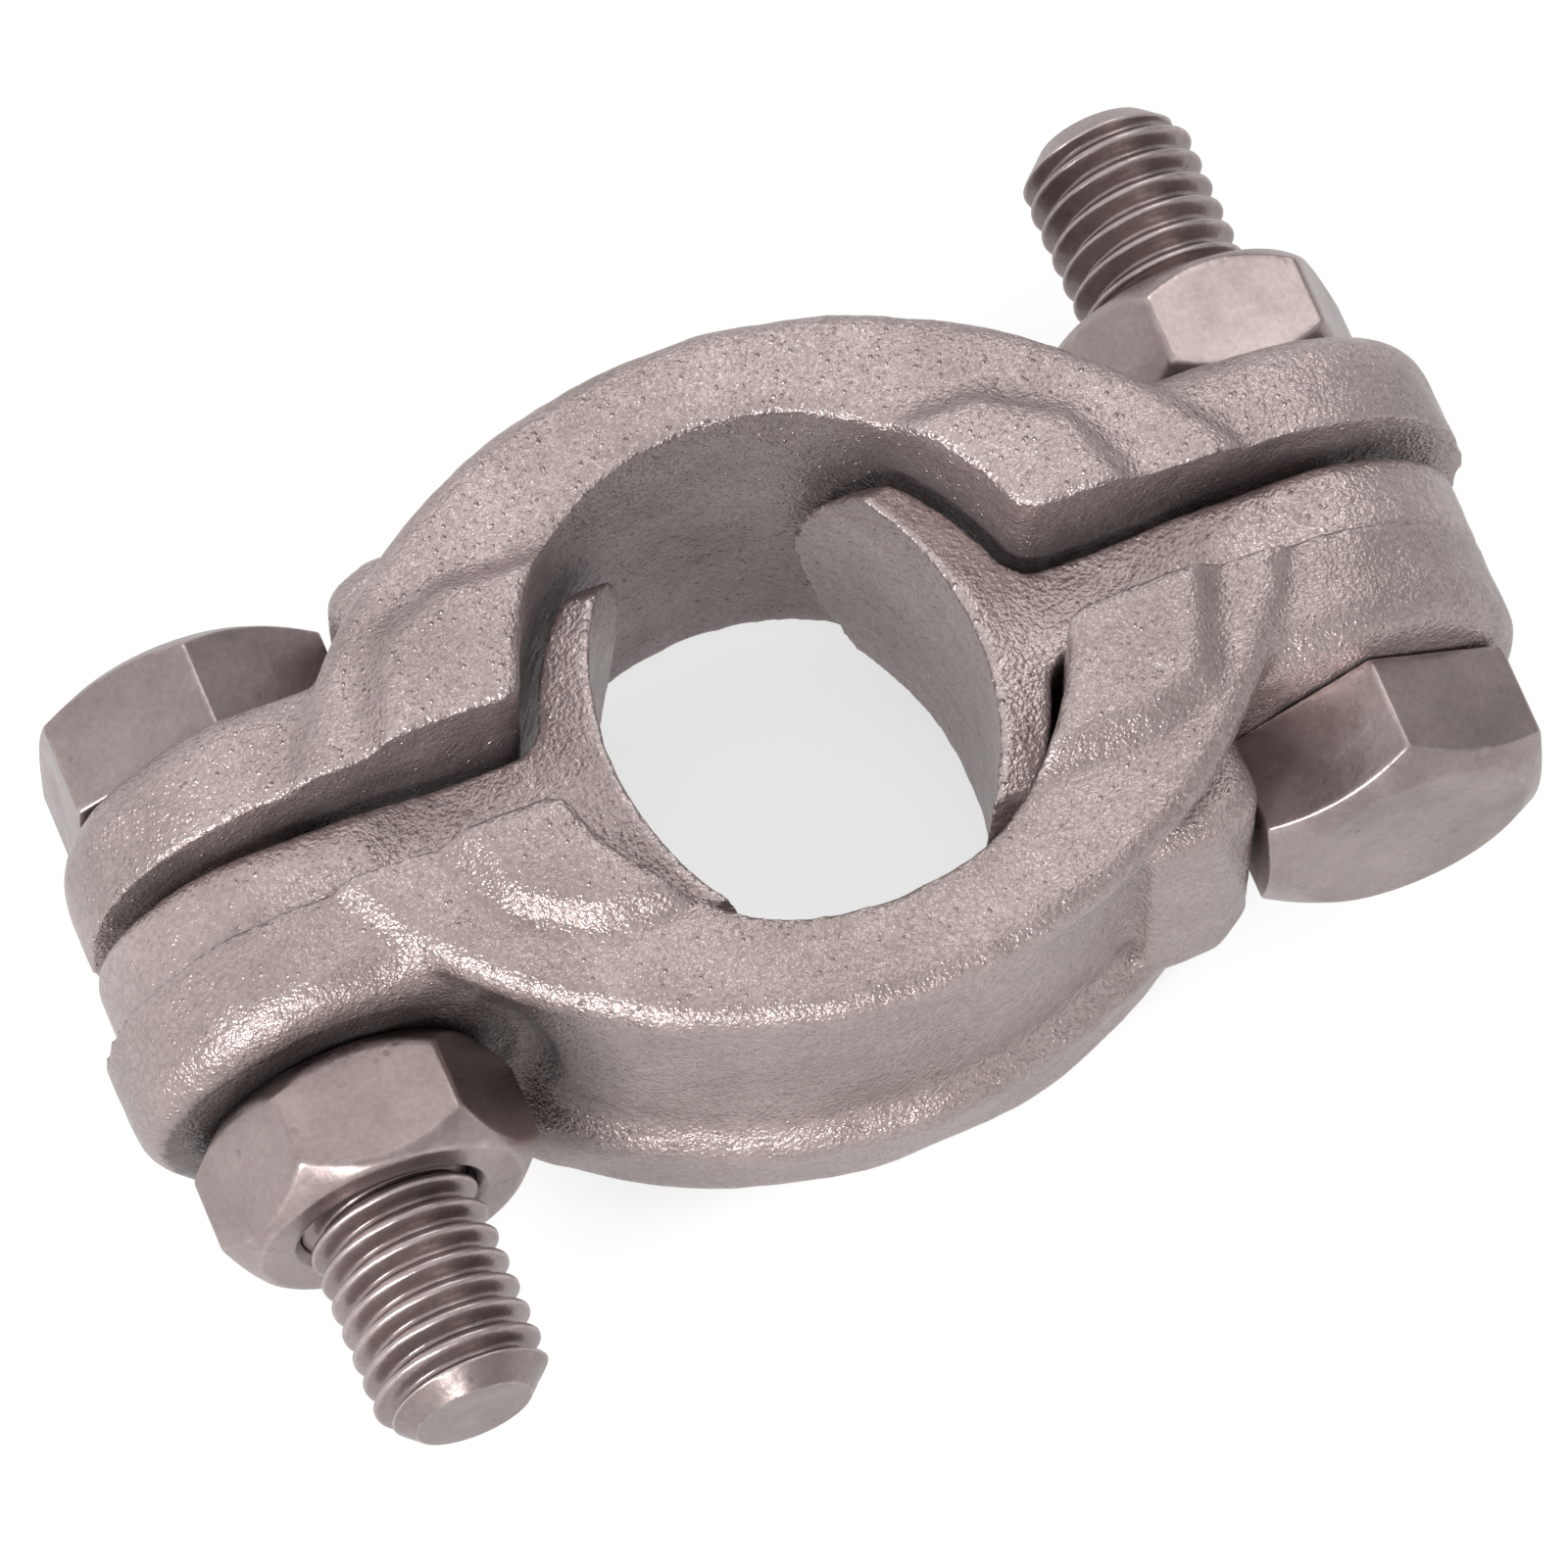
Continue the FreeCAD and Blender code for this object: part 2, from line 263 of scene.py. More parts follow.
def paintHalfShade(mesh, boltX):
    # painted shade in the pocket and under the nut, and a darker bore, where shade falls
    look = halfShade
    co = vertexArray(mesh)
    away = np.abs(co[:, 1])
    radius = fromBolt(co, boltX)
    around = 1 - rising(radius, look["pocketRadius"], look["pocketFade"])
    shadeAroundNut = look["pocket"] * smoothStep(around)
    shadeAroundNut *= smoothStep(rising(away, look["pocketStart"], look["startFade"]))
    onSeat = np.abs(away - farSeat / mm) < look["seatReach"]
    shadeAroundNut[onSeat & (radius < look["seatRadius"])] = 1.0
    inBore = np.hypot(co[:, 0], co[:, 1]) < look["boreRadius"]
    low = 1 - rising(np.abs(co[:, 2]), look["boreHeight"], look["boreFade"])
    markVertices(mesh, "shadeMarks", np.maximum(shadeAroundNut, look["bore"] * inBore * low))


def castPiece(node, name, look, seed, boltX=None):
    # a half has boltX, the place in mm of the bolt whose nut sits on it
    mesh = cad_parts[node].data.copy()
    mesh.transform(Matrix.Scale(1 / mm, 4))
    mesh.materials.clear()
    piece = link(name, mesh)
    remesh = piece.modifiers.new("mould", "REMESH")
    remesh.mode = "VOXEL"
    remesh.voxel_size = look["voxel"]
    bake(piece)
    softenPiece(piece, look, boltX)
    mesh = piece.data
    co = vertexArray(mesh)
    lift = look["swell"] / 2 * waves(co, look["swellSize"], seed)
    lift += look["peel"] / 2 * waves(co, look["peelSize"], seed + 1)
    lift -= look["swell"] / 2
    lift = np.where(lift > 0, lift * mould["outward"], lift)
    setVertices(mesh, co + vertexArray(mesh, "normal") * lift[:, None])
    if boltX is not None:
        paintHalfShade(mesh, boltX)
    mesh.transform(Matrix.Scale(mm, 4))
    shadeSmooth(mesh)
    return piece


# Fasteners

hexHead = {
    "flats": 13.0,
    "faceShare": 0.86,     # diameter of the round end face, in flats
    "chamfer": 30.0,       # degrees
    "corner": 0.3,         # mm, rounding of the upright corners
    "edge": 0.1,           # mm, rounding of the chamfer's edge
    "neck": 0.3,           # mm, fillet under the head
    "faceRings": (0.2, 0.5, 0.7),                                  # in half flats
    "seatEdge": ((0, 0.4), (0, 0.15), (0.03, 0.04), (0.12, 0)),    # mm inwards and above the seat
    "seatHole": 4.6,       # mm, radius under the head where the seat ends
    "leftTurn": 2.0,       # degrees about the bolt
    "rightTurn": 0.0,
}

hexNut = {
    "flats": 13.0,
    "faceShare": 0.95,
    "chamfer": 45.0,
    "corner": 0.45,
    "edge": 0.14,
    "bore": 4.05,          # mm, radius
    "flare": 0.5,          # mm, chamfer of the bore's mouth
    "flareEdge": 0.1,      # mm, rounding of its edges
    "leftTurn": 31.0,
    "rightTurn": 41.4,
}

hexColumns = {
    "corner": 3,           # columns at each side of a corner's middle
    "clear": 1.4,          # where those of the flat begin, in half corners
    "flat": 14,
}

boltThread = {
    "diameter": 8.0,
    "pitch": 1.25,
    "depth": 0.77,
    "crest": 0.14,         # share of the pitch that is flat at the crest
    "root": 0.16,
    "belly": 0.035,        # rounding of the flanks, in depths
    "plain": 8.85,         # mm under the head without thread
    "endChamfer": 1.3,
    "tipRings": (1, 0.96, 0.8, 0.5, 0.2),    # in radii of the tip
    "columns": 96,
    "rows": 16,            # rows in one pitch
}

cleaning = {
    "weld": 0.0005,        # mm, within which vertices become one
    "sliver": 0.0002,      # mm, under which an edge is taken out
}

# painted shade in the gap between the nut and the lug
nutShade = {
    "height": 0.4,         # mm from the lug, up to which it is full
    "fade": 0.3,           # mm
}


def gridMesh(name, rows, closeStart=False, closeEnd=False, shift=0):
    # a skin through rings of points, each ring with as many points
    # where a thread climbs, the last column meets the first one shift rows lower
    rings = len(rows)
    columns = len(rows[0])
    points = [tuple(p) for p in np.concatenate(rows)]
    faces = []
    for i in range(rings - 1):
        for j in range(columns):
            k = (j + 1) % columns
            low, high = (i, i + 1) if k else (max(i - shift, 0), max(i + 1 - shift, 0))
            face = (i * columns + j, low * columns + k, high * columns + k,
                    (i + 1) * columns + j)
            faces.append(tuple(dict.fromkeys(face)))
    ends = ((closeStart, rows[0], 0), (closeEnd, rows[-1], (rings - 1) * columns))
    for close, row, first in ends:
        if close:
            points.append(tuple(row.mean(0)))
            centre = len(points) - 1
            faces += [(centre, first + j, first + (j + 1) % columns) for j in range(columns)]
    mesh = bpy.data.meshes.new(name)
    mesh.from_pydata(points, [], faces)
    return mesh


def cornerReach(look):
    # half the angle that a rounded corner takes up, seen from the axis
    return math.atan2(look["corner"] / 2, (look["flats"] - look["corner"] / 2) / math.sqrt(3))


def hexAngles(look):
    # columns for a hexagon with its corners at 30 degrees and every 60 from there, close together
    # round the corners
    bend = math.degrees(cornerReach(look))
    many = hexColumns["corner"]
    clear = bend * hexColumns["clear"]
    steps = [bend * s / many for s in range(-many, many + 1)]
    steps += list(np.linspace(clear, 60 - clear, hexColumns["flat"]))
    return np.radians(sorted((30 + 60 * k + step) % 360 for k in range(6) for step in steps))


def hexRadius(angles, look):
    # distance from the axis to the side of the hexagon
    turn = np.mod(angles + math.pi / 6, math.pi / 3) - math.pi / 6
    flat = look["flats"] / 2 / np.cos(turn)
    away = math.pi / 6 - np.abs(turn)
    centre = look["flats"] / math.sqrt(3) - look["corner"] / math.cos(math.pi / 6)
    inside = np.maximum(look["corner"] ** 2 - (centre * np.sin(away)) ** 2, 0)
    bend = centre * np.cos(away) + np.sqrt(inside)
    return np.where(away < cornerReach(look), bend, flat)


def ring(radii, y, angles):
    y = np.broadcast_to(y, angles.shape)
    radii = np.broadcast_to(radii, angles.shape)
    return np.stack([radii * np.cos(angles), y, radii * np.sin(angles)], 1)


def chamferRows(look, angles, end, away):
    # rows over a chamfered end, from the side of the hexagon to the round face, the factors of
    # edge being what rounds the two edges
    # away is +1 where the side lies at lower y than the end, and -1 at the other end
    side = hexRadius(angles, look)
    face = look["flats"] / 2 * look["faceShare"]
    slope = math.tan(math.radians(look["chamfer"]))
    drop = (side - face) * slope
    edge = look["edge"]
    return [
        ring(side, end - away * (drop + edge * 3), angles),
        ring(side, end - away * (drop + edge), angles),
        ring(side - edge * 0.2, end - away * (drop + edge * 0.25), angles),
        ring(side - edge, end - away * (drop - edge * slope * 0.8), angles),
        ring((side + face) / 2, end - away * drop / 2, angles),
        ring(face + edge, end - away * edge * slope, angles),
        ring(face - edge * 0.3, end - away * edge * 0.1, angles),
        ring(face - edge * 2, end, angles),
        ring(face - edge * 5, end, angles),
    ]


def threadRadius(turns, look):
    # radius of the thread where turns is the place within the pitch
    place = np.abs(np.mod(turns, 1.0) - 0.5) * 2
    down = rising(place, look["crest"], 1 - look["crest"] - look["root"])
    belly = look["belly"] * np.sin(2 * math.pi * down)
    return look["diameter"] / 2 - look["depth"] * (down - belly)


def threadRows(look, start, stop, angles, limits):
    # rings that follow a right-handed thread, held between start and stop
    pitch = look["pitch"]
    step = pitch / look["rows"]
    turns = angles / (2 * math.pi)
    count = int(math.ceil((stop - start + pitch) / step)) + 2
    rows = []
    for i in range(count):
        held = np.clip(start + i * step - pitch * turns, start, stop)
        radii = threadRadius(held / pitch + turns, look)
        rows.append(ring(limits(held, radii), held, angles))
    return rows


def makeBoltMesh(length, headHeight):
    # seat at y = 0, head towards -Y, thread towards +Y
    look = hexHead
    angles = hexAngles(look)
    side = hexRadius(angles, look)
    rows = [ring(look["flats"] / 2 * s, -headHeight, angles) for s in look["faceRings"]]
    rows += list(reversed(chamferRows(look, angles, -headHeight, -1)))
    rows += [ring(side - inward, -above, angles) for inward, above in look["seatEdge"]]
    rows += [ring(side * 0.95, 0, angles), ring(look["seatHole"], 0, angles)]
    head = gridMesh("head", rows, closeStart=True, closeEnd=True)

    thread = boltThread
    turns = np.arange(thread["columns"]) * 2 * math.pi / thread["columns"]
    radius = thread["diameter"] / 2
    tipRadius = radius - thread["endChamfer"]
    plain = thread["plain"]
    neck = look["neck"]

    def limits(y, radii):
        # the thread runs out towards the plain shank and ends in a chamfer
        cut = radius - (radius - radii) * rising(y, plain, thread["pitch"])
        return np.minimum(cut, tipRadius + (length - y))

    rows = [ring(radius + neck, -neck, turns), ring(radius + neck, 0, turns)]
    rows += [ring(radius + neck * (1 - math.sin(a)), neck * (1 - math.cos(a)), turns)
             for a in np.radians([30, 60, 90])]
    rows += [ring(radius, y, turns) for y in (1.0, plain - 0.5, plain)]
    shank = gridMesh("shank", rows, closeStart=True)
    rows = threadRows(thread, plain, length, turns, limits)
    threaded = gridMesh("threaded", rows, shift=thread["rows"])
    rows = [ring(tipRadius * s, length, turns) for s in thread["tipRings"]]
    tip = gridMesh("tip", rows, closeEnd=True)
    return joined("bolt", [head, shank, threaded, tip])


def makeNutMesh(height):
    # the face on the lug is at y = 0, the nut goes on towards +Y
    look = hexNut
    angles = hexAngles(look)
    bore = look["bore"]
    flare = look["flare"]
    soft = look["flareEdge"]
    mouth = [ring(bore + flare + soft * 3, 0, angles), ring(bore + flare + soft, 0, angles),
             ring(bore + flare - soft * 0.5, soft * 0.5, angles),
             ring(bore + flare - soft * 1.5, soft * 1.5, angles),
             ring(bore + soft, flare - soft, angles), ring(bore, flare + soft, angles),
             ring(bore, flare + soft * 4, angles)]
    outside = list(reversed(chamferRows(look, angles, 0.0, -1)))
    outside += chamferRows(look, angles, height, 1)
    farMouth = [row * (1, -1, 1) + (0, height, 0) for row in mouth]
    rows = outside + farMouth + list(reversed(mouth))
    return gridMesh("nut", rows + rows[:1])


def joined(name, meshes):
    work = bmesh.new()
    for mesh in meshes:
        work.from_mesh(mesh)
        bpy.data.meshes.remove(mesh)
    out = bpy.data.meshes.new(name)
    work.to_mesh(out)
    work.free()
    return out


def finishFastener(name, mesh, place):
    # welds what coincides, turns the faces outwards and puts the piece in the frame
    work = bmesh.new()
    work.from_mesh(mesh)
    bmesh.ops.remove_doubles(work, verts=work.verts, dist=cleaning["weld"])
    bmesh.ops.dissolve_degenerate(work, edges=work.edges, dist=cleaning["sliver"])
    bmesh.ops.recalc_face_normals(work, faces=work.faces)
    work.to_mesh(mesh)
    work.free()
    mesh.transform(Matrix.Scale(mm, 4))
    mesh.transform(place)
    shadeSmooth(mesh)
    return link(name, mesh)


def paintNutShade(mesh, seat):
    # painted shade in the gap round the face that lies on the lug
    high = np.abs(vertexArray(mesh)[:, 1] - seat) / mm
    markVertices(mesh, "shadeMarks", 1 - rising(high, nutShade["height"], nutShade["fade"]))


def upY(x, y, turn):
    return Matrix.Translation((x, y, 0)) @ Matrix.Rotation(math.radians(turn), 4, "Y")


def downY(x, y, turn):
    return upY(x, y, turn) @ Matrix.Rotation(math.pi, 4, "Z")


# Materials

def newMaterial(name):
    material = bpy.data.materials.new(name)
    material.use_nodes = True
    tree = material.node_tree
    tree.nodes.clear()
    return material, tree


def newGroup(name, numbers, outputs):
    # a group that takes coordinates and numbers, these with their defaults, and gives numbers
    group = bpy.data.node_groups.new(name, "ShaderNodeTree")
    interface = group.interface
    interface.new_socket("Coordinates", in_out="INPUT", socket_type="NodeSocketVector")
    for label, value in numbers.items():
        socket = interface.new_socket(label, in_out="INPUT", socket_type="NodeSocketFloat")
        socket.default_value = value
    for label in outputs:
        interface.new_socket(label, in_out="OUTPUT", socket_type="NodeSocketFloat")
    return group, group.nodes.new("NodeGroupInput"), group.nodes.new("NodeGroupOutput")


def mathNode(tree, operation, a, b, clamp=False):
    node = tree.nodes.new("ShaderNodeMath")
    node.operation = operation
    node.use_clamp = clamp
    for socket, value in zip(node.inputs, (a, b)):
        if isinstance(value, (int, float)):
            socket.default_value = value
        else:
            tree.links.new(value, socket)
    return node.outputs[0]


def product(tree, first, *others):
    for value in others:
        first = mathNode(tree, "MULTIPLY", first, value)
    return first


def mixColour(tree, factor, a, b, blend="MIX"):
    node = tree.nodes.new("ShaderNodeMix")
    node.data_type = "RGBA"
    node.blend_type = blend
    for label, value in (("Factor", factor), ("A", a), ("B", b)):
        kind = "VALUE" if label == "Factor" else "RGBA"
        socket = [s for s in node.inputs if s.name == label and s.type == kind][0]
        if isinstance(value, (int, float, tuple)):
            socket.default_value = value
        else:
            tree.links.new(value, socket)
    return [s for s in node.outputs if s.type == "RGBA"][0]


# size of a feature in mm, detail and roughness
noises = {
    "humps": (0.9, 2.0, 0.5),
    "grit": (0.19, 1.0, 0.6),
    "patches": (6.0, 5.0, 0.62),
    "specks": (0.26, 2.0, 0.7),
    "pitPlaces": (2.4, 1.0, 0.5),
    "ragged": (0.9, 3.0, 0.6),
    "gloss": (1.8, 3.0, 0.6),
}

# noise values between which an effect goes from none to full
mostNoise = (0.35, 0.65)
allNoise = (0.3, 0.7)


def noiseNode(tree, kind, coordinates):
    size, detail, rough = noises[kind]
    node = tree.nodes.new("ShaderNodeTexNoise")
    node.inputs["Scale"].default_value = 1 / (size * mm)
    node.inputs["Detail"].default_value = detail
    node.inputs["Roughness"].default_value = rough
    tree.links.new(coordinates, node.inputs["Vector"])
    return node.outputs["Fac"]


def rangeNode(tree, value, span, low=0.0, high=1.0, kind="LINEAR"):
    # low where value is at the first end of span, high at the second
    node = tree.nodes.new("ShaderNodeMapRange")
    node.interpolation_type = kind
    tree.links.new(value, node.inputs["Value"])
    for label, number in zip(("From Min", "From Max", "To Min", "To Max"), (*span, low, high)):
        node.inputs[label].default_value = number
    return node.outputs["Result"]


# cells of this many mm, each with a spot that is full and gone at these shares of a cell
spotForms = {
    "beads": (0.40, 0.0, 0.32),
    "pits": (1.1, 0.07, 0.18),
}

spotPlaces = {
    "beads": (0.42, 0.6),      # values of the humps
    "fewBeads": 0.15,          # share of the beads that the low places keep
    "pits": (0.52, 0.62),
}


def makeGrainGroup():
    # grain of a sand casting under its plating: grit and loose beads over slow swells, and
    # pinholes, whose mask paints shade into them
    group, given, out = newGroup(
        "castGrain", {"Humps": 1.0, "Grit": 1.0, "Beads": 1.0, "Pits": 0.4},
        ("Height", "Pit Shade Mask", "Patches", "Specks"))
    where = given.outputs["Coordinates"]
    humps = noiseNode(group, "humps", where)
    grit = noiseNode(group, "grit", where)

    def spots(kind):
        size, full, gone = spotForms[kind]
        cells = group.nodes.new("ShaderNodeTexVoronoi")
        cells.inputs["Scale"].default_value = 1 / (size * mm)
        group.links.new(where, cells.inputs["Vector"])
        return rangeNode(group, cells.outputs["Distance"], (gone, full), kind="SMOOTHSTEP")

    loose = rangeNode(group, humps, spotPlaces["beads"], spotPlaces["fewBeads"])
    sparse = rangeNode(group, noiseNode(group, "pitPlaces", where), spotPlaces["pits"])
    beads = product(group, spots("beads"), loose, given.outputs["Beads"])
    pits = product(group, spots("pits"), sparse, given.outputs["Pits"])
    height = mathNode(group, "ADD", product(group, grit, given.outputs["Grit"]),
                      product(group, humps, given.outputs["Humps"]))
    height = mathNode(group, "ADD", height, beads)
    height = mathNode(group, "SUBTRACT", height, pits)
    group.links.new(height, out.inputs["Height"])
    group.links.new(pits, out.inputs["Pit Shade Mask"])
    group.links.new(noiseNode(group, "patches", where), out.inputs["Patches"])
    group.links.new(noiseNode(group, "specks", where), out.inputs["Specks"])
    return group


sheenAndShadeMarks = {
    "ragged": 0.012,           # how far noise moves the limits
    "edge": (0.515, 0.56),     # bend between which an edge is lightened, partly real rubbing and partly painted highlight
    "creaseShade": (0.490, 0.45),   # bend between which a crease gets painted shade
    "creaseShadeShare": 0.6,
}


def makeSheenAndShadeGroup():
    # edges lightened, partly real rubbing and partly painted highlight, and painted shade in
    # creases and where the shade marks say, from marks on the mesh
    group, given, out = newGroup(
        "sheenAndShade", {"Rub And Sheen": 0.5, "Painted Shade": 0.5, "Bend": 0.5, "Shade Marks": 0.0},
        ("Rub And Sheen Mask", "Painted Shade Mask"))
    ragged = noiseNode(group, "ragged", given.outputs["Coordinates"])
    nudge = rangeNode(group, ragged, allNoise, -sheenAndShadeMarks["ragged"], sheenAndShadeMarks["ragged"])
    bend = mathNode(group, "ADD", given.outputs["Bend"], nudge)
    edge = rangeNode(group, bend, sheenAndShadeMarks["edge"])
    creaseShade = rangeNode(group, bend, sheenAndShadeMarks["creaseShade"], 0.0, sheenAndShadeMarks["creaseShadeShare"])
    paintedShade = mathNode(group, "ADD", given.outputs["Shade Marks"], creaseShade, clamp=True)
    group.links.new(product(group, edge, given.outputs["Rub And Sheen"]), out.inputs["Rub And Sheen Mask"])
    group.links.new(product(group, paintedShade, given.outputs["Painted Shade"]), out.inputs["Painted Shade Mask"])
    return group


castGrain = makeGrainGroup()
sheenAndShade = makeSheenAndShadeGroup()


def placeGroup(tree, group, coordinates, values):
    node = tree.nodes.new("ShaderNodeGroup")
    node.node_tree = group
    tree.links.new(coordinates, node.inputs["Coordinates"])
    for label, value in values.items():
        node.inputs[label].default_value = value
    return node


platedCasting = {
    "light": (0.385, 0.317, 0.307, 1),
    "dark": (0.31, 0.252, 0.242, 1),
    # the edge colour lightens edges, partly real rubbing and partly painted highlight; the colour
    # after it is painted shade
    "edge": (0.44, 0.385, 0.375, 1),
    "paintedShade": (0.06, 0.046, 0.042, 1),
    "metallic": 0.7,
    "rough": (0.23, 0.36),
    "grain": 1.0,          # larger numbers are coarser
    "humps": 0.55,
    "grit": 0.6,
    "beads": 0.42,
    "pits": 0.12,
    "specks": 0.14,        # how far the fine specks change the colour
    "bump": 0.16,          # mm
    "rubAndSheen": 0.6,            # how far edges are lightened, partly real rubbing and partly painted highlight
    "shadeDepth": 0.8,           # how dark the painted shade in pockets, gaps and creases is
    "seed": 0,
}

# the far half is the same part as the near one, coloured lighter as painted light for its better
# lit top, and with stronger grain
platedFarHalfLit = dict(
    platedCasting,
    light=(0.435, 0.359, 0.350, 1),
    dark=(0.33, 0.270, 0.260, 1),
    humps=0.9,
    grit=0.75,
    beads=0.75,
    seed=2,
)

platedSaddle = dict(
    platedCasting,
    light=(0.44, 0.366, 0.356, 1),
    dark=(0.36, 0.295, 0.284, 1),
    grain=1.15,
    seed=3,
)

platedNut = {
    "light": (0.395, 0.325, 0.315, 1),
    "dark": (0.285, 0.231, 0.223, 1),
    # the edge colour lightens edges, partly real rubbing and partly painted highlight; the colour
    # after it is painted shade
    "edge": (0.62, 0.545, 0.535, 1),
    "paintedShade": (0.06, 0.046, 0.042, 1),
    "metallic": 0.88,
    "rough": (0.25, 0.37),
    "grain": 1.2,
    "humps": 0.55,
    "grit": 0.16,
    "beads": 0.0,
    "pits": 0.25,
    "specks": 0.07,
    "bump": 0.045,
    "rubAndSheen": 0.6,
    "shadeDepth": 0.85,
    "seed": 9,
}

platedBolt = dict(
    platedNut,
    light=(0.37, 0.306, 0.297, 1),
    dark=(0.245, 0.199, 0.192, 1),
    humps=0.8,
    shadeDepth=0.35,
    seed=5,
)

# m that each step of a seed moves the pattern
seedShift = (0.013, 0.007, 0.011)


def metalMaterial(name, look):
    material, tree = newMaterial(name)
    shader = tree.nodes.new("ShaderNodeBsdfPrincipled")
    output = tree.nodes.new("ShaderNodeOutputMaterial")
    tree.links.new(shader.outputs["BSDF"], output.inputs["Surface"])
    shift = tree.nodes.new("ShaderNodeVectorMath")
    shift.operation = "ADD"
    tree.links.new(tree.nodes.new("ShaderNodeTexCoord").outputs["Object"], shift.inputs[0])
    shift.inputs[1].default_value = [look["seed"] * part for part in seedShift]
    sized = tree.nodes.new("ShaderNodeVectorMath")
    sized.operation = "SCALE"
    tree.links.new(shift.outputs[0], sized.inputs[0])
    sized.inputs["Scale"].default_value = 1 / look["grain"]
    place = sized.outputs[0]
    grain = placeGroup(tree, castGrain, place,
                       {"Humps": look["humps"], "Grit": look["grit"], "Beads": look["beads"],
                        "Pits": look["pits"]})
    sheenAndShadeMasks = placeGroup(tree, sheenAndShade, place, {"Rub And Sheen": look["rubAndSheen"], "Painted Shade": look["shadeDepth"]})
    for mark, label in (("bend", "Bend"), ("shadeMarks", "Shade Marks")):
        marks = tree.nodes.new("ShaderNodeAttribute")
        marks.attribute_name = mark
        tree.links.new(marks.outputs["Fac"], sheenAndShadeMasks.inputs[label])
    tone = rangeNode(tree, grain.outputs["Patches"], mostNoise)
    colour = mixColour(tree, tone, look["dark"], look["light"])
    # painted shade: the dark colour laid over pockets, gaps, bore and creases
    colour = mixColour(tree, sheenAndShadeMasks.outputs["Painted Shade Mask"], colour, look["paintedShade"])
    # edges lightened, partly real rubbing and partly painted highlight
    colour = mixColour(tree, sheenAndShadeMasks.outputs["Rub And Sheen Mask"], colour, look["edge"])
    # pinholes painted dark as the shade in them
    colour = mixColour(tree, grain.outputs["Pit Shade Mask"], colour, look["paintedShade"])
    fine = rangeNode(tree, grain.outputs["Specks"], mostNoise,
                     1 - look["specks"], 1 + look["specks"])
    colour = mixColour(tree, 1.0, colour, fine, "MULTIPLY")
    tree.links.new(colour, shader.inputs["Base Color"])
    shader.inputs["Metallic"].default_value = look["metallic"]
    rough = rangeNode(tree, noiseNode(tree, "gloss", place), allNoise, *look["rough"])
    tree.links.new(rough, shader.inputs["Roughness"])
    bump = tree.nodes.new("ShaderNodeBump")
    bump.inputs["Strength"].default_value = 1.0
    bump.inputs["Distance"].default_value = look["bump"] * mm
    tree.links.new(grain.outputs["Height"], bump.inputs["Height"])
    tree.links.new(bump.outputs["Normal"], shader.inputs["Normal"])
    return material


castingFinish = metalMaterial("platedCasting", platedCasting)
farLitFinish = metalMaterial("platedFarHalfLit", platedFarHalfLit)
saddleFinish = metalMaterial("platedSaddle", platedSaddle)
boltFinish = metalMaterial("platedBolt", platedBolt)
nutFinish = metalMaterial("platedNut", platedNut)
print("materials made")


# The eight pieces

def dress(piece, node, body, material):
    markBend(piece.data)
    piece.data.materials.append(material)
    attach(piece, body)
    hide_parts(node)


leftX = midX("left_bolt")
rightX = midX("right_bolt")

nearHalf = castPiece("near_half", "nearHalf", halfCasting, halfCasting["seedNear"], leftX / mm)
dress(nearHalf, "near_half", "near_side", castingFinish)
farHalf = castPiece("far_half", "farHalf", halfCasting, halfCasting["seedFar"], rightX / mm)
dress(farHalf, "far_half", "far_side", farLitFinish)
print("halves made:", len(nearHalf.data.polygons), "faces each")

leftSaddle = castPiece("left_saddle", "leftSaddle", saddleCasting, saddleCasting["seedLeft"])
dress(leftSaddle, "left_saddle", "near_side", saddleFinish)
rightSaddle = castPiece("right_saddle", "rightSaddle", saddleCasting, saddleCasting["seedRight"])
dress(rightSaddle, "right_saddle", "near_side", saddleFinish)
print("saddles made:", len(leftSaddle.data.polygons), "faces each")

boltMesh = makeBoltMesh(boltLength, headHeight)
leftPlace = downY(leftX, farSeat, hexHead["leftTurn"])
leftBolt = finishFastener("leftBolt", boltMesh.copy(), leftPlace)
dress(leftBolt, "left_bolt", "far_side", boltFinish)
rightPlace = upY(rightX, nearSeat, hexHead["rightTurn"])
rightBolt = finishFastener("rightBolt", boltMesh, rightPlace)
dress(rightBolt, "right_bolt", "near_side", boltFinish)

nutMesh = makeNutMesh(nutHeight)
leftPlace = downY(midX("left_nut"), nearSeat, hexNut["leftTurn"])
leftNut = finishFastener("leftNut", nutMesh.copy(), leftPlace)
paintNutShade(leftNut.data, nearSeat)
dress(leftNut, "left_nut", "left_nut_body", nutFinish)
rightPlace = upY(midX("right_nut"), farSeat, hexNut["rightTurn"])
rightNut = finishFastener("rightNut", nutMesh, rightPlace)
dress(rightNut, "right_nut", "right_nut_body", nutFinish)
print("fasteners made:", len(leftBolt.data.polygons), "and", len(leftNut.data.polygons), "faces")


# Floor, light and camera

studio = {
    "floorColour": (0.40, 0.40, 0.40, 1),
    "floorRough": 0.8,
    "floorGlow": 0.68,         # what the camera sees on top of the lit floor
    "floorGloss": 0.46,        # what gloss and glass see on top of it
    "floorSize": 6.0,          # m
    "worldLeft": 1.05,         # brightness of the room at the left, where 1 is white
    "worldRight": 0.50,
}

